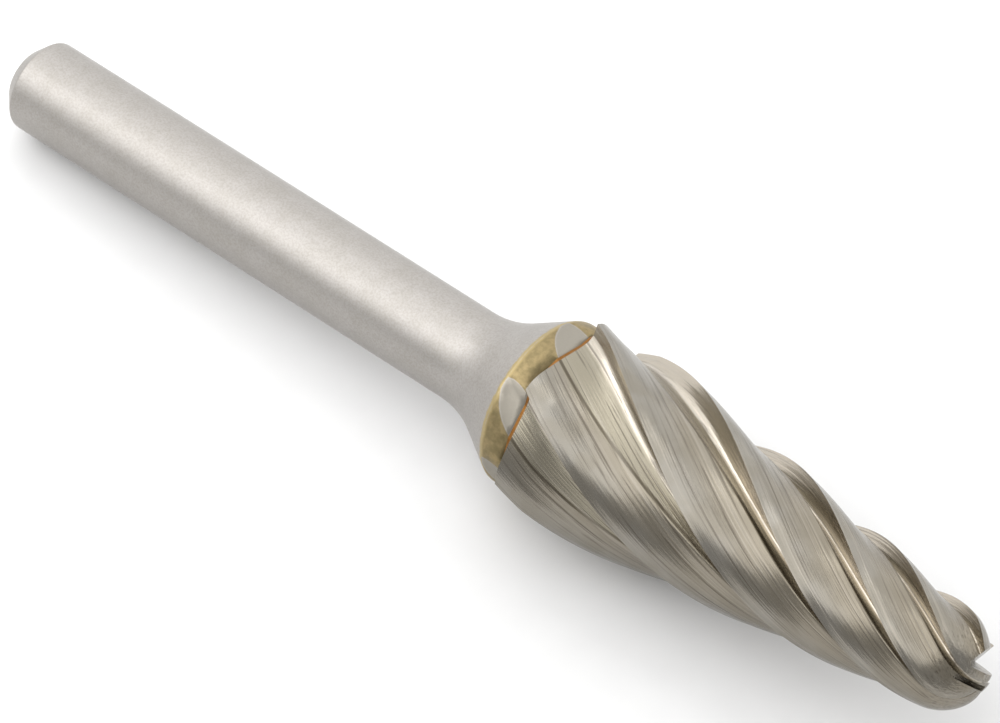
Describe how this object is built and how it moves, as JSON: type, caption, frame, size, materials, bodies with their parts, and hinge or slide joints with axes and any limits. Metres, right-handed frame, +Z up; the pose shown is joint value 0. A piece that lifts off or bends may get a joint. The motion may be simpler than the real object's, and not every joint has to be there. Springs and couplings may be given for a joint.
{
  "type": "carbide burr",
  "caption": "Carbide burr: a taper-radius-end head with wide helical flutes, brazed to the flared collar of a plain round shank.",
  "frame": {"origin": "on the resting plane, below the middle of the tool's box", "axes": "+X is the lengthwise direction, from the shank to the nose, which the tool axis follows with its nose raised by 4 degrees; +Z is up as the tool rests; the picture looks down from the -Y side and the +X end"},
  "size_m": [0.0808, 0.0138, 0.0132],
  "materials": {
    "shank_steel": "satin, fine blasted",
    "braze_alloy": "copper-coloured braze, ground flush",
    "ground_carbide": "ground, with fine lines along the flutes"
  },
  "bodies": {
    "root": {"steel_shank": "shank_steel", "braze_joint": "braze_alloy", "carbide_head": "ground_carbide"}
  },
  "joints": []
}
